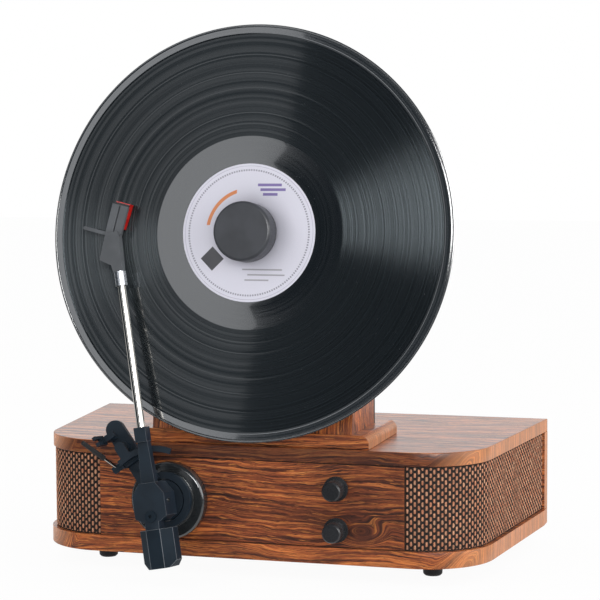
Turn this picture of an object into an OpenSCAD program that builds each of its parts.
// Upright record player: a veneered cabinet with a speaker in each side, a wedge-shaped stand,
// a record held against a leaning platter by a clamp, and a straight arm on the cabinet's front.
// X runs to the right, Y to the back and Z up. The origin is on the floor, under the middle of the box
// that the whole player fills.

/* [Cabinet] */
// Width of the cabinet's front, measured before its corners are rounded
base_front_w = 330; // [326:1:360]
// Width of the cabinet's back
base_back_w = 372; // [350:1:400]
// Depth of the cabinet
base_d = 192; // [180:1:220]
// Height of the cabinet without its feet
base_h = 83; // [82:1:100]
// Radius of the rounded front corners
corner_r = 50; // [42:1:54]
// Thickness of the top board
top_t = 10; // [8:0.5:13]
// Thickness of the bottom board
bottom_t = 12; // [9:0.5:13]
// How far the bottom board stands out past the top board
bottom_lip = 1.5; // [0.5:0.1:3]
// Thickness of the front and back panels
panel_t = 8; // [6:0.5:10]
// Width of the wooden front panel between the grilles
front_panel_w = 232; // [222:1:236]
// Thickness of the curved side walls
wall_t = 7; // [5:0.5:9]
// Thickness of the grille cloth
cloth_t = 1.2; // [0.8:0.1:2]
// How far the grille cloth lies back from the boards' edges
cloth_recess = 1; // [0.5:0.1:2]

/* [Feet] */
// Diameter of a foot at the cabinet
foot_d = 16; // [12:0.5:22]
// Diameter of a foot at the floor
foot_tip_d = 14; // [10:0.5:20]
// Height of a foot
foot_h = 13; // [8:0.5:16]
// Distance of the front feet from the middle
foot_front_x = 127; // [100:1:132]
// Distance of the back feet from the middle
foot_back_x = 146; // [110:1:155]
// Distance of a foot's centre from the front and back edges
foot_inset = 42; // [24:1:50]

/* [Speakers] */
// Diameter of a speaker's mounting flange
speaker_d = 57; // [52:1:58]
// Diameter of the hole in front of a speaker's cone
speaker_bore_d = 48; // [38:1:50]
// Distance of the speakers behind the cabinet's middle
speaker_y = 18; // [0:1:30]
// Diameter of a speaker's magnet
magnet_d = 40; // [30:1:44]

/* [Stand] */
// Width of the plinth
plinth_w = 178; // [166:1:200]
// Depth of the plinth
plinth_d = 84; // [76:1:96]
// Height of the plinth
plinth_h = 10; // [8:0.5:14]
// Radius of the plinth's rounded ends
plinth_r = 6; // [3:0.5:7]
// How far the plinth lies behind the cabinet's front
plinth_set = 4; // [3:0.5:10]
// Width of the column
column_w = 152; // [140:1:160]
// Depth of the column at its foot
column_d = 66; // [60:1:72]
// How far the column's foot lies behind the plinth's front
column_set = 2; // [1:0.5:5]
// Height of the column above the platter's axis
column_over = 50; // [44:1:60]
// Thickness of the column's boards
column_t = 8; // [6:0.5:10]
// Thickness of the column's back cover
cover_t = 4; // [3:0.5:5]
// Angle by which the column's front and the record lean back
lean = 7; // [6:0.5:8]
// Height of the platter's axis above the cabinet, on the column's front
axis_h = 152; // [151:1:158]

/* [Turntable] */
// Diameter of the record
record_d = 302; // [298:1:304]
// Thickness of the record
record_t = 2; // [1.6:0.1:2.6]
// Diameter of the record's label
label_d = 100; // [90:1:102]
// Depth of the grooved band below the record's bead
groove_depth = 0.25; // [0.1:0.05:0.4]
// Diameter of the spindle's pin, which passes through the record
pin_d = 7.1; // [6.9:0.05:7.15]
// Diameter of the hole in the record
record_hole_d = 7.24; // [7.2:0.01:7.4]
// Diameter of the platter
platter_d = 220; // [200:1:250]
// Thickness of the platter's plate
platter_t = 6; // [4:0.5:7]
// Thickness of the slip mat
mat_t = 3; // [2:0.5:4]
// Diameter of the rim that the belt runs on
rim_d = 120; // [112:1:126]
// Height of the belt rim
rim_h = 6; // [6:0.5:8]
// Running gap between the belt rim and the column
rim_gap = 2.7; // [2:0.1:4]
// Diameter of the spindle in its bearing
spindle_d = 8; // [7.5:0.1:10]
// Diameter of the clamp that holds the record
clamp_d = 43; // [38:1:50]
// Height of the clamp
clamp_h = 17; // [15:0.5:20]
// Width of the clamp's bevel
clamp_bevel = 1.5; // [0.5:0.5:3]

/* [Drive] */
// Distance of the motor below the platter's axis
motor_drop = 80; // [76:1:86]
// Diameter of the motor
motor_d = 34; // [28:1:36]
// Length of the motor
motor_l = 20; // [16:1:22]
// Diameter of the motor's pulley
pulley_d = 12; // [10:0.5:14]
// Thickness of the belt
belt_t = 1; // [0.6:0.1:1.2]
// Width of the belt
belt_w = 4; // [3:0.5:4.5]

/* [Arm] */
// Distance of the arm's pivot to the left of the platter's axis
pivot_x = 60; // [54:1:66]
// Distance of the arm's flange below the middle of the front panel
flange_off = 1.1; // [-2:0.1:2.8]
// Radius of the round flange on the cabinet's front
flange_r = 28.3; // [25:0.1:28.6]
// Thickness of the flange
flange_t = 9; // [6:0.5:9]
// Radius of the raised turret on the flange
turret_r = 20.5; // [18:0.5:22]
// Angle of the arm to the left of upright, where its stylus stands on the record
arm_angle = 10.4; // [8:0.1:13]
// Height of the arm tube's middle above the record, at its foot
tube_n = 20.5; // [20:0.5:21.5]
// Angle of the tube towards the record
tube_dip = 4; // [3.6:0.1:4.2]
// Angle of the tube to the left of the arm block's own line
tube_turn = 1.54; // [1.2:0.02:1.8]
// Diameter of the arm tube
tube_d = 6.1; // [5:0.1:7]
// Distance from the pivot to the far end of the tube's socket, along the tube
socket_end = 168.4; // [160:0.2:175]
// Distance from the pivot to the foot of the head shell, along the tube
shell_foot = 197; // [192:1:200]
// Angle of the head shell to the arm
shell_angle = 23.7; // [20:0.1:26]
// Width of the head shell
shell_w = 12.3; // [11:0.1:14]
// Length of the head shell
shell_l = 21.4; // [20:0.1:24]
// Height of the head shell's upper face above the record
shell_n = 12.5; // [12:0.5:13.5]
// Height of the arm block's front face above the record
block_n = 26; // [25:0.5:28]
// Width of the arm block
block_w = 24; // [22:0.5:28]
// Height of the arm block
block_h = 28; // [26:0.5:32]
// Depth of the arm block, from its front face to its open back
block_d = 22; // [18:0.5:22.5]
// Height of the lift pivot above the record
lift_n = 18; // [17:0.5:18.5]
// Width of the counterweight
weight_w = 25; // [20:0.5:26]
// Length of the counterweight
weight_l = 28; // [20:0.5:29]
// Width of the counterweight's chamfers
weight_chamfer = 7.2; // [4:0.1:9]

/* [Rest and cue] */
// Angle of the rest bracket to the left of upright
bracket_angle = 36.6; // [34:0.1:40]
// Distance from the pivot to the middle of the bracket's round end
bracket_l = 62; // [60:0.5:68]
// Width of the bracket
bracket_w = 14; // [12:0.5:16]
// Distance from the pivot to the cue shaft
cue_q = 37.2; // [36.4:0.2:38]
// Height of the cue shaft above the record
cue_n = 5.5; // [5:0.1:5.6]
// Diameter of the ribbed cue drum
drum_d = 8; // [6.6:0.2:8.2]
// Diameter of the cue shaft
cue_shaft_d = 4; // [3:0.1:4.6]
// Angle of the cue lever from the bracket towards the front
cue_angle = 55; // [45:1:60]
// Length of the cue lever from its shaft
lever_l = 41.5; // [36:0.5:44]
// Length of the grip on the cue lever
grip_l = 25; // [18:0.5:26]
// Radius of the lift bar's arc around the pivot
lifter_r = 38; // [37:0.5:40]

/* [Knobs] */
// Distance of the knobs to the right of the middle
knob_x = 66; // [50:1:80]
// Distance of the upper knob below the cabinet's top
knob_drop = 28; // [24:0.5:30]
// Distance between the knobs
knob_step = 30; // [26:0.5:32]
// Diameter of a knob's skirt
knob_skirt_d = 18; // [16:0.5:22]
// Diameter of a knob's body
knob_d = 14; // [13:0.5:15]
// Height of a knob in front of the panel
knob_h = 16; // [13:0.5:20]
// Diameter of a knob's shaft
knob_shaft_d = 6; // [5:0.1:6.4]

/* [Sockets] */
// Width of the socket plate on the back
plate_w = 110; // [104:1:130]
// Height of the socket plate
plate_h = 36; // [30:1:44]
// Thickness of the socket plate
plate_t = 1.6; // [1:0.1:2.5]
// Diameter of a line socket's barrel
line_d = 8.3; // [8:0.05:8.6]
// Length of a line socket's barrel behind the plate
line_l = 9; // [7:0.5:11]
// Diameter of the headphone socket's hole
phone_d = 3.6; // [3.5:0.02:3.7]
// Diameter of the power inlet's hole
inlet_d = 5.7; // [5.5:0.05:6.4]
// Travel of the power switch
switch_travel = 4; // [3:0.5:5]

/* [Fits] */
// Radial clearance of a turning shaft in its bore
running = 0.05; // [0.02:0.01:0.09]
// Radial clearance of a piece that is set in another and stays there
seat = 0.05; // [0.02:0.01:0.1]
// Gap between two faces that move past each other
slip = 0.3; // [0.25:0.05:0.5]

/* [Hidden] */
$fn = 64;

wood = "#8a5236";
dark_wood = "#6e4029";
black = "#23272c";
chrome = "#c9ccd0";
brass = "#b59a57";
tan_cloth = "#6b4a33";

base_top = foot_h + base_h;
inner_low = foot_h + bottom_t;
inner_high = base_top - top_t;
inner_h = inner_high - inner_low;
inner_mid = (inner_low + inner_high) / 2;
front_y = -base_d / 2;
back_y = base_d / 2;
splay = atan((base_back_w - base_front_w) / (2 * base_d));
wall_in = cloth_recess + cloth_t;
wall_back = wall_in + wall_t;
corner_y = front_y + corner_r;
corner_x = base_front_w / 2 + corner_r * tan(splay) - corner_r / cos(splay);

stand_z = base_top + plinth_h;
column_y = front_y + plinth_set + column_set;
column_back_y = column_y + column_d;
deck_z = base_top + axis_h;
deck_y = column_y + (deck_z - stand_z) * tan(lean);
column_top_z = deck_z + column_over;
bearing_l = 18;
bearing_r = 12;
bearing_flange_r = 20;
bearing_flange_t = 3;
bearing_end_t = 2;

platter_low = rim_gap + rim_h;
mat_low = platter_low + platter_t;
record_low = mat_low + mat_t;
record_face = record_low + record_t;
hub_r = spindle_d / 2 + 8;
rim_wall = 8;
screw_r = 1.6;
screw_l = 14;
screw_head_r = 3.2;
screw_head_t = 1.8;
pin_over = 12;
label_t = 0.2;
bead_w = 5;
belt_gap = 0.3;
belt_dip = 0.05;
belt_low = rim_gap + (rim_h - belt_w) / 2;
pulley_h = belt_w + 1;
pulley_low = belt_low - 0.5;
motor_shaft_r = 1;
motor_boss_r = 5;

flange_z = inner_mid - flange_off;
axis_on_front = deck_z + record_face * sin(lean) - (front_y - deck_y + record_face * cos(lean)) * tan(lean);
pivot_drop = (axis_on_front - flange_z) * cos(lean);
pivot_y = deck_y - record_face * cos(lean) - pivot_drop * sin(lean);
panel_n = -(front_y - pivot_y) / cos(lean);
turret_n = -8;
turret_step = turret_r * tan(lean) + 0.8;
flange_boss_r = 12;
flange_boss_l = 4;
flange_back = panel_t + flange_boss_l;
pivot_shaft_r = 4;
washer_r = 8;
washer_t = 1.5;
yoke_r = 15;
ring_t = 4;
post_w = 17.2;
post_d = 12;
post_over = 3;
lift_pin_r = 1.5;
lift_pin_set = 3;
block_low = block_n - block_d;
block_front_t = 3.4;
block_room = 18;
stem_back = 15.5;
stem_w = 10.6;
stem_top_w = 7.6;
stem_set = 3.5;
collar_w = 8.8;
collar_l = 10.5;
collar_end = 54;
collar_low = collar_end - collar_l;
collar_n = block_n - 1;
socket_l = 10.5;
socket_r = 4.5;
foot_l = shell_foot - collar_low;
foot_p = -foot_l * cos(tube_dip) * sin(tube_turn);
foot_q = collar_low + foot_l * cos(tube_dip) * cos(tube_turn);
neck_t = 6;
neck_low = -2.5;
cartridge_t = 1.4;
cartridge_over = 1.5;
shell_t = 3;
finger_w = 2.5;
stylus_t = 6.8;
stylus_over = 2.2;
stylus_gap = 0.35;
weight_gap = 19.5;
neck_w = 10.4;
balance_y = -10;
balance_r = 4.2;

bracket_t = 4;
bracket_n = 3;
bracket_start = yoke_r + 2 * slip;
riser_l = 6;
cheek_t = 1.6;
cheek_over = 1.8;
cheek_w = cue_shaft_d + 3;
boss_r = 6;
boss_h = 2;
boss_p = 1;
boss_back = 5;
drum_l = bracket_w - 2 * slip;
lever_p = -13;
cue_pin_end = -16.5;
rod_r = 1.1;
grip_r = 1.9;
grip_tip_r = 1.6;
lifter_w = 4.2;
lifter_t = 2;
lifter_n = stem_back - slip;
lifter_left = 47;
lifter_right = -16.5;
lifter_tab = 9;
lifter_pin_r = 2;
guide_r = 4;
guide_h = 3;
guide_q = lifter_r + lifter_tab;
clip_q = bracket_l - 4;
clip_w = 4.5;
clip_foot = 6;
clip_foot_t = 2;
clip_stem = 2.5;
clip_reach = 2.2;
clip_ledge_t = 3;
clip_slope = 4;
clip_lip_p = -6.7;
clip_lip_t = 2.6;
clip_top = 29;
fork_w = 7.5;
fork_gap = 2.5;
fork_deep = 9;

grip_tip = 0.4;
lever_up = cue_q * cos(bracket_angle) + lever_p * sin(bracket_angle);
lever_out = cos(lean) * sin(cue_angle) - sin(lean) * cos(bracket_angle) * cos(cue_angle);
grip_out = sqrt(1 - lever_out * lever_out);
lever_root = cue_n * cos(lean) - lever_up * sin(lean);
lever_end = max(lever_l * lever_out + (grip_tip_r - grip_tip) * grip_out,
    (lever_l - grip_tip) * lever_out + grip_tip_r * grip_out);
weight_end = (weight_gap + weight_l) * cos(arm_angle) + (weight_w / 2 - weight_chamfer) * sin(arm_angle);
front_reach = max(lever_root + lever_end, block_n * cos(lean) + weight_end * sin(lean)) - pivot_y;
back_reach = back_y + plate_t + line_l;
frame_y = (front_reach - back_reach) / 2;

plate_z = inner_mid;
line_x = [-40, -25];
phone_x = -7;
inlet_x = 12;
switch_x = 34;
slot_w = 6.2;
slot_h = 4.4;
line_shoulder = 1.5;
line_collar = 0.6;
phone_w = 10;
inlet_w = 14;
inlet_h = 12;
switch_w = 12;
switch_h = 10;
bay_left = phone_x - phone_w / 2 - 2;
bay_right = inlet_x + inlet_w / 2 + 2;
bay_h = plate_h - 8;
foot_places = [[-foot_front_x, front_y + foot_inset], [foot_front_x, front_y + foot_inset],
    [-foot_back_x, back_y - foot_inset], [foot_back_x, back_y - foot_inset]];
control_z = [base_top - knob_drop, base_top - knob_drop - knob_step];
board_w = 96;
board_d = 56;
board_t = 1.6;
board_lift = 6;
board_set = 44;
board_y = back_y - board_set;
board_edge = 5;
can_d = 10;
can_h = 12;
can_step = 28;
can_set = 12;
can_y = board_y - can_set;
sink_w = 60;
sink_t = 8;
sink_h = 16;
sink_y = board_y + 6;
chip_w = 14;
chip_t = 3;
chip_x = -38;
chip_y = board_y - 4;
stud_r = 1.5;
stud_over = 1;
standoff_r = 3;
screw_front = 66;
screw_back = 26;
cone_roll = 2;
cone_lip = 0.8;
cone_depth = 6;
cone_t = 1.5;
bushing_r = 3.5;
bushing_l = 6;
nut_r = 6;
nut_t = 2;

// Puts the player's own frame, centred on the cabinet, into the part's frame
module player() { translate([0, frame_y, 0]) children(); }

// Frame on the column's front at the platter's axis: Y up along the record, Z straight out of it
module deck() { player() translate([0, deck_y, deck_z]) rotate([90 - lean, 0, 0]) children(); }

// The same frame at the arm's pivot, with Z counted from the record's face
module pivot() { deck() translate([-pivot_x, -pivot_drop, record_face]) children(); }

// Frame of the arm: Y up the middle of its block
module arm() { pivot() rotate([0, 0, arm_angle]) children(); }

// Frame of the tube inside the arm's: Y along the tube's middle, counted from the pivot
module tube() {
    translate([0, collar_low, tube_n]) rotate([-tube_dip, 0, tube_turn]) translate([0, -collar_low, 0])
        children();
}

// Frame of the head shell, at its foot
module shell() { arm() translate([foot_p, foot_q, 0]) rotate([0, 0, -shell_angle]) children(); }

// Frame of the rest bracket: Y along the bracket
module bracket() { pivot() rotate([0, 0, bracket_angle]) children(); }

// Frame on the cabinet's front: Z out of the panel
module on_front(x, z) { player() translate([x, front_y, z]) rotate([90, 0, 0]) children(); }

// Frame on the cabinet's back: Z out of the panel
module on_back(x, z) { player() translate([x, back_y, z]) rotate([-90, 0, 0]) children(); }

// Frame on the right side wall's outer face: Z out of the wall
module on_side() {
    x = base_front_w / 2 + (speaker_y - front_y) * tan(splay) - wall_in / cos(splay);
    player() translate([x, speaker_y, inner_mid]) rotate([0, 0, -splay]) rotate([0, 90, 0]) children();
}

// Cylinder along X through the middle of its length
module cross(r, from, to) { translate([from, 0, 0]) rotate([0, 90, 0]) cylinder(r = r, h = to - from); }

// Cylinder along Y
module along(r, from, to) { translate([0, from, 0]) rotate([-90, 0, 0]) cylinder(r = r, h = to - from); }

// Cutter for a hole through a board that lies behind its frame
module through(r, t) { translate([0, 0, -2 * t]) cylinder(r = r, h = 3 * t); }

// Screw with its head above its frame and its shank below
module screw() {
    cylinder(r = screw_head_r, h = screw_head_t);
    translate([0, 0, -screw_l]) cylinder(r = screw_r, h = screw_l + screw_head_t / 2);
}

// Hole for a screw's shank
module screw_hole() { translate([0, 0, -screw_l - 1]) cylinder(r = screw_r + seat, h = 2 * screw_l); }

// Outline of the cabinet, drawn in by an inset except at the back
module plan(inset) {
    r = corner_r - inset;
    back_x = base_back_w / 2 - inset / cos(splay);
    side = [corner_x + r * cos(splay), corner_y - r * sin(splay)];
    polygon([[-corner_x, corner_y - r], [corner_x, corner_y - r], side, [back_x, back_y], [-back_x, back_y],
        [-side[0], side[1]]]);
    for (s = [-1, 1]) translate([s * corner_x, corner_y]) circle(r = r);
}

// A curved layer along the right side and front corner, between two insets
module side_layer(outer, inner) {
    x = front_panel_w / 2;
    player() translate([0, 0, inner_low]) linear_extrude(inner_h) intersection() {
        difference() {
            plan(outer);
            plan(inner);
        }
        translate([x, front_y]) square([base_back_w, base_d - panel_t]);
    }
}

module top_board() {
    color(wood) player() translate([0, 0, inner_high]) linear_extrude(top_t) plan(0);
}

module bottom_board() {
    color(wood) difference() {
        player() translate([0, 0, foot_h]) linear_extrude(bottom_t) intersection() {
            plan(-bottom_lip);
            translate([-base_back_w / 2, -base_d]) square([base_back_w, 2 * base_d]);
        }
        cabinet_screw_places() screw_hole();
    }
}

module front_panel() {
    color(wood) difference() {
        player() translate([-front_panel_w / 2, front_y, inner_low]) cube([front_panel_w, panel_t, inner_h]);
        on_front(-pivot_x, flange_z) through(flange_boss_r + seat, panel_t);
        for (z = control_z) on_front(knob_x, z) through(bushing_r + seat, panel_t);
    }
}

module back_panel() {
    room = 0.5;
    color(wood) difference() {
        player() translate([0, 0, inner_low]) linear_extrude(inner_h) intersection() {
            plan(0);
            translate([-base_back_w, back_y - panel_t]) square([2 * base_back_w, panel_t]);
        }
        for (x = line_x) on_back(x, plate_z) through(line_d / 2 + line_shoulder + room, panel_t);
        on_back((bay_left + bay_right) / 2, plate_z) pocket(bay_right - bay_left, bay_h);
        on_back(switch_x + switch_travel / 2, plate_z)
            pocket(switch_w + switch_travel + 2 * room, switch_h + 2 * room);
    }
}

// Cutter for a square hole through the back panel
module pocket(w, h) { translate([-w / 2, -h / 2, -2 * panel_t]) cube([w, h, 3 * panel_t]); }

module side_wall() {
    color(dark_wood) difference() {
        side_layer(wall_in, wall_back);
        on_side() through(speaker_bore_d / 2, wall_t);
        cabinet_screw_places() screw_hole();
    }
}

module side_wall_left() { mirror([1, 0, 0]) side_wall(); }

module side_wall_right() { side_wall(); }

module grille_right() { color(tan_cloth) side_layer(cloth_recess, wall_in); }

module grille_left() { mirror([1, 0, 0]) grille_right(); }

// Basket and magnet, behind the side wall
module speaker() {
    flange_h = 3;
    basket_l = 12;
    magnet_h = 11;
    color(black) on_side() translate([0, 0, -wall_t]) mirror([0, 0, 1]) difference() {
        union() {
            cylinder(d = speaker_d, h = flange_h);
            cylinder(d1 = speaker_bore_d + 2, d2 = magnet_d, h = flange_h + basket_l);
            translate([0, 0, flange_h + basket_l]) cylinder(d = magnet_d, h = magnet_h);
        }
        translate([0, 0, -1]) cylinder(d1 = speaker_bore_d, d2 = magnet_d - 8, h = flange_h + basket_l - 1);
    }
}

module speaker_right() { speaker(); }

module speaker_left() { mirror([1, 0, 0]) speaker(); }

module speaker_cones() {
    rim = speaker_bore_d / 2 - seat;
    cap = rim / 3;
    low = -cone_depth - cone_t;
    dome = cone_depth * 0.7;
    color("#303236") for (s = [0, 1]) mirror([s, 0, 0]) on_side() translate([0, 0, -wall_t]) rotate_extrude()
        polygon([[rim, 0], [rim, cone_lip], [rim - cone_roll, 2 * cone_lip], [rim - 2 * cone_roll, cone_lip],
            [cap, -cone_depth], [0, -dome], [0, low], [cap, low], [rim - cone_roll - cone_t, 0]]);
}

module circuit_board() {
    z = inner_low + board_lift;
    color("#2f6b45") player() difference() {
        union() {
            translate([-board_w / 2, board_y - board_d / 2, z]) cube([board_w, board_d, board_t]);
            for (i = [-1 : 1]) translate([i * can_step, can_y, z]) cylinder(d = can_d, h = board_t + can_h);
            translate([-sink_w / 2, sink_y, z]) cube([sink_w, sink_t, board_t + sink_h]);
            translate([chip_x, chip_y, z]) cube([chip_w, chip_w, board_t + chip_t]);
        }
        board_corners() translate([0, 0, z - 1]) cylinder(r = stud_r + seat, h = board_t + 2);
    }
}

// Places of the four standoffs under the circuit board
module board_corners() {
    for (x = [-1, 1], y = [-1, 1])
        translate([x * (board_w / 2 - board_edge), board_y + y * (board_d / 2 - board_edge), 0]) children();
}

module board_standoffs() {
    color(brass) player() board_corners() translate([0, 0, inner_low]) {
        cylinder(r = standoff_r, h = board_lift);
        cylinder(r = stud_r, h = board_lift + board_t + stud_over);
    }
}

module feet() {
    tip = 1.2;
    color("#17181a") player() for (p = foot_places) translate([p[0], p[1], 0]) rotate_extrude()
        polygon([[0, 0], [foot_tip_d / 2 - tip, 0], [foot_tip_d / 2, tip], [foot_d / 2, foot_h], [0, foot_h]]);
}

function screw_x(y) = base_front_w / 2 + (y - front_y) * tan(splay) - (wall_in + wall_back) / 2 / cos(splay);

// Places of the screws that hold the bottom board to the side walls
module cabinet_screw_places() {
    player() for (s = [-1, 1], y = [front_y + screw_front, back_y - screw_back])
        translate([s * screw_x(y), y, foot_h]) mirror([0, 0, 1]) children();
}

// Screws of the bottom board and of the column's cover
module case_screws() {
    color("#55585c") {
        cabinet_screw_places() screw();
        cover_screw_places() screw();
    }
}

module socket_plate() {
    color("#2b2d30") difference() {
        on_back(0, plate_z) translate([-plate_w / 2, -plate_h / 2, 0]) cube([plate_w, plate_h, plate_t]);
        for (x = line_x) on_back(x, plate_z) through(line_d / 2 + line_shoulder + seat, 3 * plate_t);
        on_back(phone_x, plate_z) through(phone_d / 2 + 2 + seat, 3 * plate_t);
        on_back(inlet_x, plate_z) through(inlet_d / 2 + 2.5 + seat, 3 * plate_t);
        on_back(switch_x, plate_z) switch_slot(-1);
    }
}

// Cutter for the slot that the switch's cap slides in
module switch_slot(from) {
    translate([-slot_w / 2, -slot_h / 2, from]) cube([slot_w + switch_travel, slot_h, 2 * panel_t]);
}

module line_sockets() {
    body = 12;
    centre_d = 3.2;
    color(brass) for (x = line_x) on_back(x, plate_z) difference() {
        union() {
            translate([0, 0, -body])
                cylinder(r = line_d / 2 + line_shoulder, h = body + plate_t + line_collar);
            cylinder(d = line_d, h = plate_t + line_l);
        }
        translate([0, 0, plate_t + 1]) cylinder(d = centre_d, h = line_l);
    }
}

module headphone_socket() {
    body = 14;
    color("#3a3d40") on_back(phone_x, plate_z) difference() {
        union() {
            translate([-phone_w / 2, -phone_w / 2, -body]) cube([phone_w, phone_w, body]);
            cylinder(d = phone_d + 4, h = plate_t + 1.5);
        }
        translate([0, 0, -body + 2]) cylinder(d = phone_d, h = body + plate_t + 2);
    }
}

module power_inlet() {
    body = 12;
    pin_r = 1;
    color("#3a3d40") on_back(inlet_x, plate_z) {
        difference() {
            union() {
                translate([-inlet_w / 2, -inlet_h / 2, -body]) cube([inlet_w, inlet_h, body]);
                cylinder(d = inlet_d + 5, h = plate_t + 1.5);
            }
            translate([0, 0, -body + 2]) cylinder(d = inlet_d, h = body + plate_t + 2);
        }
        translate([0, 0, -body + 1]) cylinder(r = pin_r, h = body);
    }
}

module switch_case() {
    case_h = 8;
    color("#3a3d40") on_back(switch_x, plate_z) difference() {
        translate([-switch_w / 2, -switch_h / 2, -case_h]) cube([switch_w + switch_travel, switch_h, case_h]);
        switch_slot(2 - case_h);
    }
}

module switch_cap() {
    depth = 5;
    proud = 2.5;
    color("#d8d8d4") on_back(switch_x, plate_z) translate([-slot_w / 2 + slip, -slot_h / 2 + slip, -depth])
        cube([slot_w - 2 * slip, slot_h - 2 * slip, depth + plate_t + proud]);
}

// Plinth with rounded upper ends
module plinth() {
    y = front_y + plinth_set + plinth_d;
    color(wood) player() translate([0, y, base_top]) rotate([90, 0, 0]) linear_extrude(plinth_d) difference() {
        translate([-plinth_w / 2, 0]) square([plinth_w, plinth_h]);
        for (s = [-1, 1]) translate([s * (plinth_w / 2 - plinth_r), plinth_h - plinth_r]) difference() {
            translate([s > 0 ? 0 : -2 * plinth_r, 0]) square(2 * plinth_r);
            circle(r = plinth_r);
        }
    }
}

// A slab of the column: an outline in Y and Z carried along X
module slab(x, w, points) {
    player() translate([x, 0, 0]) rotate([90, 0, 90]) linear_extrude(w) polygon(points);
}

function column_front_at(z) = column_y + (z - stand_z) * tan(lean);

module column_front() {
    low = stand_z;
    high = column_top_z - column_t;
    board = column_t / cos(lean);
    color(wood) difference() {
        slab(-column_w / 2, column_w, [[column_front_at(low), low], [column_front_at(low) + board, low],
            [column_front_at(high) + board, high], [column_front_at(high), high]]);
        deck() through(bearing_r + seat, column_t);
        deck() translate([0, -motor_drop, 0]) through(motor_boss_r + seat, column_t);
    }
}

module column_side(x) {
    low = stand_z;
    high = column_top_z - column_t;
    board = column_t / cos(lean);
    back = column_back_y - cover_t;
    color(wood) difference() {
        slab(x, column_t, [[column_front_at(low) + board, low], [back, low], [back, high],
            [column_front_at(high) + board, high]]);
        cover_screw_places() screw_hole();
    }
}

module column_side_left() { column_side(-column_w / 2); }

module column_side_right() { column_side(column_w / 2 - column_t); }

module column_top() {
    high = column_top_z - column_t;
    y = column_front_at(high);
    color(wood) player() translate([-column_w / 2, y, high]) cube([column_w, column_back_y - y, column_t]);
}

module column_cover() {
    vent_w = 40;
    vent_h = 2.5;
    vent_step = 8;
    vents = 5;
    vent_rise = 30;
    y = column_back_y - cover_t;
    h = column_top_z - column_t - stand_z;
    color(dark_wood) difference() {
        player() translate([-column_w / 2, y, stand_z]) cube([column_w, cover_t, h]);
        cover_screw_places() screw_hole();
        player() for (i = [0 : vents - 1])
            translate([-vent_w / 2, y - 1, stand_z + vent_rise + i * vent_step])
                cube([vent_w, cover_t + 2, vent_h]);
    }
}

// Places of the screws that hold the cover to the column's sides
module cover_screw_places() {
    rise = 12;
    x = (column_w - column_t) / 2;
    player() for (s = [-1, 1], z = [stand_z + rise, column_top_z - column_t - rise])
        translate([s * x, column_back_y, z]) rotate([-90, 0, 0]) children();
}

module spindle_bearing() {
    end = -column_t - bearing_l;
    flange = -column_t - bearing_flange_t;
    color(brass) deck() difference() {
        union() {
            translate([0, 0, end]) cylinder(r = bearing_r, h = -end);
            translate([0, 0, flange]) cylinder(r = bearing_flange_r, h = bearing_flange_t);
        }
        translate([0, 0, end + bearing_end_t]) cylinder(d = spindle_d + 2 * running, h = -end);
    }
}

module motor() {
    color("#8b8f94") deck() translate([0, -motor_drop, 0]) difference() {
        union() {
            translate([0, 0, -column_t - motor_l]) cylinder(d = motor_d, h = motor_l);
            translate([0, 0, -column_t]) cylinder(r = motor_boss_r, h = column_t);
        }
        translate([0, 0, -column_t - motor_l / 2]) cylinder(r = motor_shaft_r + running, h = 3 * motor_l);
    }
}

module motor_pulley() {
    color(brass) deck() translate([0, -motor_drop, 0]) {
        translate([0, 0, -column_t - motor_l / 2 + slip])
            cylinder(r = motor_shaft_r, h = column_t + motor_l / 2 + pulley_low);
        translate([0, 0, pulley_low]) cylinder(d = pulley_d, h = pulley_h);
    }
}

// The space inside a loop round the belt rim and the pulley, standing off both by a distance
module belt_space(off, h) {
    big = rim_d / 2 + off;
    small = pulley_d / 2 + off;
    tilt = asin((big - small) / motor_drop);
    a = big - belt_dip;
    b = small - belt_dip;
    cylinder(r = big, h = h);
    translate([0, -motor_drop, 0]) cylinder(r = small, h = h);
    linear_extrude(h) polygon([[a * cos(tilt), -a * sin(tilt)], [b * cos(tilt), -motor_drop - b * sin(tilt)],
        [-b * cos(tilt), -motor_drop - b * sin(tilt)], [-a * cos(tilt), -a * sin(tilt)]]);
}

module drive_belt() {
    color("#1d1d1f") deck() translate([0, 0, belt_low]) difference() {
        belt_space(belt_gap + belt_t, belt_w);
        translate([0, 0, -1]) belt_space(belt_gap, belt_w + 2);
    }
}

module spindle() {
    low = -column_t - bearing_l + bearing_end_t + slip;
    color(chrome) deck() {
        translate([0, 0, low]) cylinder(d = spindle_d, h = mat_low - low);
        cylinder(d = pin_d, h = record_face + pin_over);
    }
}

module platter() {
    color("#a9adb2") deck() difference() {
        union() {
            translate([0, 0, platter_low]) cylinder(d = platter_d, h = platter_t);
            translate([0, 0, rim_gap]) cylinder(d = rim_d, h = rim_h + 1);
        }
        translate([0, 0, rim_gap - 1]) difference() {
            cylinder(d = rim_d - 2 * rim_wall, h = rim_h + 1);
            cylinder(r = hub_r, h = rim_h + 1);
        }
        translate([0, 0, -1]) cylinder(d = spindle_d + 2 * seat, h = record_face);
    }
}

module slip_mat() {
    edge = 2;
    color("#26282b") deck() translate([0, 0, mat_low]) difference() {
        cylinder(d = platter_d - 2 * edge, h = mat_t);
        translate([0, 0, -1]) cylinder(d = pin_d + 4 * seat, h = mat_t + 2);
    }
}

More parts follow.
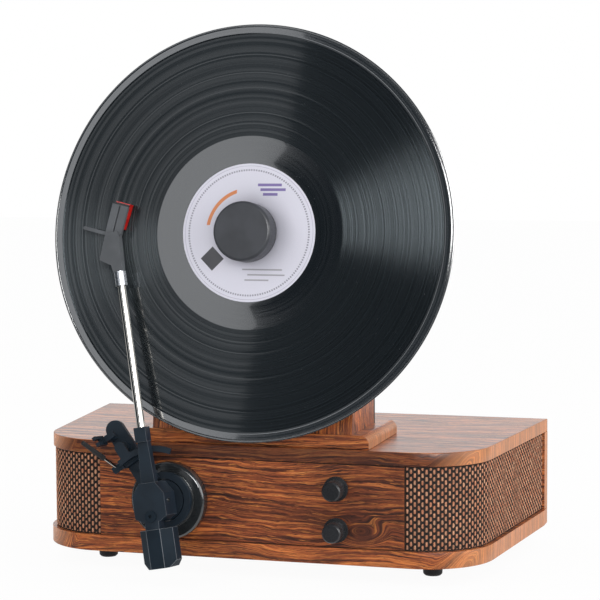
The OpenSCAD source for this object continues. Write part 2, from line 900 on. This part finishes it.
// Record with a raised bead at its edge and a label seat in the middle
module record_disc() {
    r = record_d / 2;
    inner = label_d / 2;
    hole = record_hole_d / 2;
    run_out = 20;
    groove = record_t - groove_depth;
    color("#15171a") deck() translate([0, 0, record_low]) rotate_extrude() polygon([
        [hole, 0], [r - bead_w, 0], [r, record_t / 2], [r - 0.6, record_t - 0.2], [r - bead_w + 1, record_t],
        [r - bead_w, groove], [inner + run_out, groove], [inner + 1, record_t], [inner, record_t],
        [inner, record_t - label_t], [hole, record_t - label_t]]);
}

module record_label() {
    color("#dcdae6") deck() translate([0, 0, record_face - label_t]) difference() {
        cylinder(d = label_d, h = label_t);
        translate([0, 0, -1]) cylinder(d = record_hole_d, h = label_t + 2);
    }
}

module clamp() {
    r = clamp_d / 2;
    lip = 0.8;
    bore = pin_d / 2 + running;
    color("#33363a") deck() translate([0, 0, record_face]) rotate_extrude() polygon([
        [bore, 0], [r - lip, 0], [r, lip], [r, clamp_h - clamp_bevel], [r - clamp_bevel, clamp_h],
        [0, clamp_h], [0, pin_over + slip], [bore, pin_over + slip]]);
}

// Turning controls, with their bodies behind the front panel and their bushings through it
module controls() {
    body_d = 17;
    body_l = 10;
    bore = knob_shaft_d + 2 * running;
    color("#7d8186") for (z = control_z) on_front(knob_x, z) difference() {
        union() {
            translate([0, 0, -panel_t - body_l]) cylinder(d = body_d, h = body_l);
            translate([0, 0, -panel_t]) cylinder(r = bushing_r, h = panel_t + nut_t + slip);
        }
        translate([0, 0, -panel_t - body_l / 2]) cylinder(d = bore, h = 2 * panel_t + body_l);
    }
}

module control_nuts() {
    color(brass) for (z = control_z) on_front(knob_x, z) difference() {
        cylinder(r = nut_r, h = nut_t, $fn = 6);
        translate([0, 0, -1]) cylinder(r = bushing_r + seat, h = nut_t + 2);
    }
}

// Knob with a skirt, flutes round its body and its own shaft
module knob(z) {
    skirt_t = 3;
    gap = 0.6;
    flutes = 20;
    flute_r = 0.5;
    bevel = 1;
    color("#202225") on_front(knob_x, z) {
        difference() {
            rotate_extrude() polygon([[0, gap], [knob_skirt_d / 2 - 0.6, gap], [knob_skirt_d / 2, gap + 0.8],
                [knob_skirt_d / 2, skirt_t], [knob_d / 2, skirt_t], [knob_d / 2, knob_h - bevel],
                [knob_d / 2 - bevel, knob_h], [0, knob_h]]);
            translate([0, 0, -1]) cylinder(r = nut_r + slip, h = nut_t + slip + 1.6);
            for (i = [0 : flutes - 1]) rotate([0, 0, i * 360 / flutes])
                translate([knob_d / 2 + 0.1, 0, skirt_t]) cylinder(r = flute_r, h = knob_h - skirt_t - bevel);
        }
        translate([0, 0, -panel_t - 4]) cylinder(d = knob_shaft_d, h = panel_t + 8);
    }
}

module upper_knob() { knob(control_z[0]); }

module lower_knob() { knob(control_z[1]); }

// Round base of the arm: flange on the panel, boss through it and a turret square to the record
module arm_flange() {
    bevel = 1.5;
    turret_low = panel_n + turret_step;
    color("#1c1f23") difference() {
        union() {
            on_front(-pivot_x, flange_z) rotate_extrude() polygon([[0, 0], [flange_r, 0],
                [flange_r, flange_t - bevel], [flange_r - bevel, flange_t], [0, flange_t]]);
            on_front(-pivot_x, flange_z) translate([0, 0, -flange_back])
                cylinder(r = flange_boss_r, h = flange_back);
            pivot() translate([0, 0, turret_low]) cylinder(r = turret_r, h = turret_n - turret_low);
        }
        pivot() translate([0, 0, panel_n - 2 * flange_back])
            cylinder(r = pivot_shaft_r + running, h = 2 * flange_back - panel_n);
    }
}

// Bracket that carries the arm rest and the cue lever
module rest_bracket() {
    low = bracket_n - bracket_t;
    cheek_high = cue_n + cue_shaft_d / 2 + cheek_over;
    cheek_out = bracket_w / 2 + cheek_t;
    color("#262a2f") bracket() difference() {
        union() {
            difference() {
                translate([0, 0, turret_n]) cylinder(r = turret_r, h = ring_t);
                translate([0, 0, turret_n - 1]) cylinder(r = bracket_start, h = ring_t + 2);
            }
            translate([-bracket_w / 2, bracket_start, turret_n])
                cube([bracket_w, riser_l, bracket_n - turret_n]);
            translate([-bracket_w / 2, bracket_start, low])
                cube([bracket_w, bracket_l - bracket_start, bracket_t]);
            translate([0, bracket_l, low]) cylinder(d = bracket_w, h = bracket_t);
            translate([boss_p, cue_q - boss_back, low]) cylinder(r = boss_r, h = bracket_t + boss_h);
            translate([0, guide_q, low]) cylinder(r = guide_r, h = bracket_t + guide_h);
            difference() {
                translate([-cheek_out, cue_q - cheek_w / 2, low])
                    cube([2 * cheek_out, cheek_w, cheek_high - low]);
                translate([-bracket_w / 2, cue_q - cheek_w, bracket_n])
                    cube([bracket_w, 2 * cheek_w, cheek_high]);
            }
        }
        translate([0, cue_q, cue_n]) cross(cue_shaft_d / 2 + running, -bracket_w, bracket_w);
        translate([0, cue_q, cue_n]) cross(drum_d / 2 + slip, -bracket_w / 2, bracket_w / 2);
        translate([0, guide_q, turret_n]) cylinder(r = lifter_pin_r + running, h = 2 * lifter_n);
    }
}

// Clip on the bracket's end: a ledge under the parked tube and a forked lip beside it
module rest_clip() {
    dip = (clip_q + clip_w / 2 - collar_low) * tan(tube_dip);
    ledge = tube_n - dip - tube_d / 2 - slip;
    under = ledge - clip_ledge_t;
    edge = -bracket_w / 2;
    stem = edge + clip_stem;
    foot = edge + clip_foot;
    foot_n = bracket_n + clip_foot_t;
    lip_out = clip_lip_p - clip_lip_t;
    color("#1f2327") bracket() difference() {
        union() {
            translate([0, clip_q + clip_w / 2, 0]) rotate([90, 0, 0]) linear_extrude(clip_w) polygon([
                [edge, bracket_n], [foot, bracket_n], [foot, foot_n], [stem, foot_n], [stem, under],
                [clip_reach, under], [clip_reach, ledge], [lip_out, ledge], [lip_out, under],
                [edge, under - clip_slope]]);
            translate([lip_out, clip_q - fork_w / 2, under]) cube([clip_lip_t, fork_w, clip_top - under]);
        }
        translate([lip_out - 1, clip_q - fork_gap / 2, clip_top - fork_deep])
            cube([clip_lip_t + 2, fork_gap, fork_deep + 1]);
    }
}

// Yoke that swings on the flange, with a post inside the arm block
module arm_yoke() {
    low = turret_n + slip;
    shaft_low = panel_n - flange_back - 4;
    post_low = low + ring_t - 1;
    color("#1f2327") arm() difference() {
        union() {
            translate([0, 0, low]) cylinder(r = yoke_r, h = ring_t);
            translate([0, 0, shaft_low]) cylinder(r = pivot_shaft_r, h = low - shaft_low);
            translate([-post_w / 2, -post_d / 2, post_low])
                cube([post_w, post_d, lift_n + post_over - post_low]);
        }
        translate([0, 0, lift_n]) cross(lift_pin_r + seat, -block_w, block_w);
    }
}

// Washer that keeps the yoke's shaft in the flange
module yoke_washer() {
    color(chrome) arm() translate([0, 0, panel_n - flange_back - 1.5 - washer_t]) difference() {
        cylinder(r = washer_r, h = washer_t);
        translate([0, 0, -1]) cylinder(r = pivot_shaft_r + seat, h = washer_t + 2);
    }
}

// Pins through the block's sides into the yoke's post
module lift_pins() {
    inner = post_w / 2 - lift_pin_set;
    outer = block_w / 2 + 0.4;
    color(chrome) arm() translate([0, 0, lift_n]) {
        cross(lift_pin_r, inner, outer);
        cross(lift_pin_r, -outer, -inner);
    }
}

// Block over the yoke's post, with the stem that holds the tube and the neck of the counterweight
module arm_block() {
    half = block_w / 2;
    up = block_h / 2;
    side_up = 5.5;
    side_down = -up + 3.5;
    crown = 6.2;
    room_w = post_w + 2 * slip;
    room_high = block_n - block_front_t;
    stem_high = block_n - stem_set;
    color("#2b3138") arm() difference() {
        union() {
            translate([0, 0, block_low]) linear_extrude(block_d) polygon([[-crown, up], [crown, up],
                [half, side_up], [half, side_down], [crown, -up], [-crown, -up], [-half, side_down],
                [-half, side_up]]);
            translate([0, 0, stem_back]) linear_extrude(stem_high - stem_back) polygon([[-stem_w / 2, up - 2],
                [stem_w / 2, up - 2], [stem_top_w / 2, collar_low + 1], [-stem_top_w / 2, collar_low + 1]]);
            translate([-collar_w / 2, collar_low, stem_back]) cube([collar_w, collar_l, collar_n - stem_back]);
            translate([-neck_w / 2, -weight_gap, stem_back])
                cube([neck_w, weight_gap - up + 2, block_n - stem_back]);
        }
        translate([-room_w / 2, -block_room / 2, block_low - 1])
            cube([room_w, block_room, room_high - block_low + 1]);
        translate([0, 0, lift_n]) cross(lift_pin_r + running, -block_w, block_w);
        tube() along(tube_d / 2 + seat, collar_low, collar_end + 1);
        translate([0, balance_y, block_n - 3]) cylinder(r = 1.5 + seat, h = 4);
    }
}

module arm_tube() {
    wall = 0.8;
    color(chrome) arm() tube() difference() {
        along(tube_d / 2, collar_low, socket_end);
        along(tube_d / 2 - wall, collar_low - 1, socket_end + 1);
    }
}

module tube_socket() {
    color("#8f9296") arm() tube() difference() {
        along(socket_r, socket_end - socket_l, socket_end);
        along(tube_d / 2 + seat, socket_end - socket_l - 1, socket_end + 1);
    }
}

// Neck with a side fin, and the slotted plate that carries the cartridge
module head_shell() {
    foot_w = 3.6;
    fin = 13;
    fin_up = 11;
    fin_low = 5.5;
    fin_root = 2;
    tab_w = 4;
    slot_width = 1;
    slot_depth = 1.2;
    color("#3b3f44") union() {
        arm() tube() translate([0, 0, neck_low]) linear_extrude(neck_t) polygon([[-foot_w, socket_end],
            [foot_w, socket_end], [foot_w + 1, shell_foot - 2], [foot_w, shell_foot + 1],
            [-foot_w - fin_root, shell_foot + 1], [-fin, socket_end + fin_up],
            [-foot_w - 1, socket_end + fin_low]]);
        shell() difference() {
            union() {
                translate([-shell_w / 2, 0, shell_n - shell_t]) cube([shell_w, shell_l, shell_t]);
                translate([-shell_w / 2, -finger_w, shell_n - shell_t]) cube([tab_w, finger_w + 1, shell_t]);
            }
            translate([-slot_width / 2, 1, shell_n - slot_depth]) cube([slot_width, shell_l, 2 * slot_depth]);
        }
    }
}

module finger_lift() {
    reach = 16.5;
    t = 1.5;
    under = shell_n - t - 0.3;
    color("#3b3f44") shell() {
        translate([-shell_w / 2 - reach, -finger_w, under]) cube([reach, finger_w, t]);
        translate([-shell_w / 2 - reach, -finger_w / 2, under]) cylinder(d = finger_w, h = t);
    }
}

module cartridge() {
    edge = 0.5;
    color("#1b1d20") shell() translate([-shell_w / 2 + edge, 2, shell_n - shell_t - cartridge_t])
        cube([shell_w - 2 * edge, shell_l - 2 + cartridge_over, cartridge_t]);
}

module stylus() {
    edge = 0.7;
    l = 19;
    rise = 2;
    flat = 5;
    top = shell_n - shell_t - cartridge_t;
    low = top - stylus_t;
    end = shell_l + stylus_over;
    color("#c8201c") shell() {
        translate([-shell_w / 2 + edge, 0, 0]) rotate([90, 0, 90]) linear_extrude(shell_w - 2 * edge)
            polygon([[end - l, top], [end - l, low + rise], [end - flat, low], [end, low], [end, top]]);
        translate([0, end - flat / 2, stylus_gap]) cylinder(d1 = 0.4, d2 = 1.2, h = low - stylus_gap + 0.2);
    }
}

// Counterweight: chamfered along its length and at the corners of its foot
module counterweight() {
    half = weight_w / 2;
    c = weight_chamfer;
    foot = 4.5;
    color("#272c32") arm() translate([0, -weight_gap - weight_l, block_n - weight_w]) intersection() {
        translate([0, weight_l, 0]) rotate([90, 0, 0]) linear_extrude(weight_l) polygon([[-half + c, 0],
            [half - c, 0], [half, c], [half, weight_w - c], [half - c, weight_w], [-half + c, weight_w],
            [-half, weight_w - c], [-half, c]]);
        linear_extrude(weight_w) polygon([[-half + foot, 0], [half - foot, 0], [half, foot], [half, weight_l],
            [-half, weight_l], [-half, foot]]);
    }
}

module balance_screw() {
    head_t = 1.4;
    color("#3f454c") arm() translate([0, balance_y, block_n]) difference() {
        union() {
            cylinder(r = balance_r, h = head_t);
            translate([0, 0, -2.8]) cylinder(r = 1.5, h = 3);
        }
        translate([0, 0, 0.3]) cylinder(r = 1.4, h = head_t, $fn = 6);
    }
}

// Ribbed drum on its shaft, with the pin that the lever is set in
module cue_shaft() {
    ribs = 14;
    rib_r = 0.35;
    color("#24282d") bracket() translate([0, cue_q, cue_n]) difference() {
        union() {
            cross(cue_shaft_d / 2, cue_pin_end, drum_l / 2 + cheek_t + 1);
            cross(drum_d / 2, -drum_l / 2, drum_l / 2);
            cross(cue_shaft_d / 2 + 0.8, cue_pin_end, -drum_l / 2 - cheek_t - 2 * slip);
        }
        for (i = [0 : ribs - 1]) rotate([i * 360 / ribs, 0, 0]) translate([0, drum_d / 2 + 0.05, 0])
            cross(rib_r, -drum_l / 2 - 0.1, drum_l / 2 + 0.1);
        lever() cylinder(r = rod_r + seat, h = 10);
    }
}

// Frame of the cue lever: Z along the rod
module lever() { translate([lever_p, 0, 0]) rotate([cue_angle - 90, 0, 0]) children(); }

module cue_rod() {
    color(chrome) bracket() translate([0, cue_q, cue_n]) lever() cylinder(r = rod_r, h = lever_l - 4);
}

module cue_grip() {
    low = lever_l - grip_l;
    stop = lever_l - 4;
    bore = rod_r + seat;
    color("#1d2024") bracket() translate([0, cue_q, cue_n]) lever() rotate_extrude() polygon([[bore, low],
        [grip_r - grip_tip, low], [grip_r, low + grip_tip], [grip_tip_r, lever_l - grip_tip],
        [grip_tip_r - grip_tip, lever_l], [0, lever_l], [0, stop], [bore, stop]]);
}

// Curved bar that lifts the arm, with the pin that guides it
module lift_bar() {
    low = lifter_n - lifter_t;
    inner = lifter_r - lifter_w / 2;
    span = lifter_left - lifter_right;
    color("#2a2e33") {
        pivot() translate([0, 0, low]) rotate([0, 0, 90 + lifter_right]) rotate_extrude(angle = span)
            translate([inner, 0]) square([lifter_w, lifter_t]);
        bracket() {
            translate([-guide_r, lifter_r, low]) cube([2 * guide_r, lifter_tab, lifter_t]);
            translate([0, guide_q, low]) cylinder(r = guide_r, h = lifter_t);
            translate([0, guide_q, bracket_n - 1]) cylinder(r = lifter_pin_r, h = lifter_n - bracket_n);
        }
    }
}

top_board();
bottom_board();
front_panel();
back_panel();
side_wall_left();
side_wall_right();
grille_left();
grille_right();
speaker_left();
speaker_right();
speaker_cones();
circuit_board();
board_standoffs();
feet();
case_screws();
socket_plate();
line_sockets();
headphone_socket();
power_inlet();
switch_case();
switch_cap();
plinth();
column_front();
column_side_left();
column_side_right();
column_top();
column_cover();
spindle_bearing();
motor();
motor_pulley();
drive_belt();
spindle();
platter();
slip_mat();
record_disc();
record_label();
clamp();
controls();
control_nuts();
upper_knob();
lower_knob();
arm_flange();
rest_bracket();
rest_clip();
arm_yoke();
yoke_washer();
lift_pins();
arm_block();
arm_tube();
tube_socket();
head_shell();
finger_lift();
cartridge();
stylus();
counterweight();
balance_screw();
cue_shaft();
cue_rod();
cue_grip();
lift_bar();
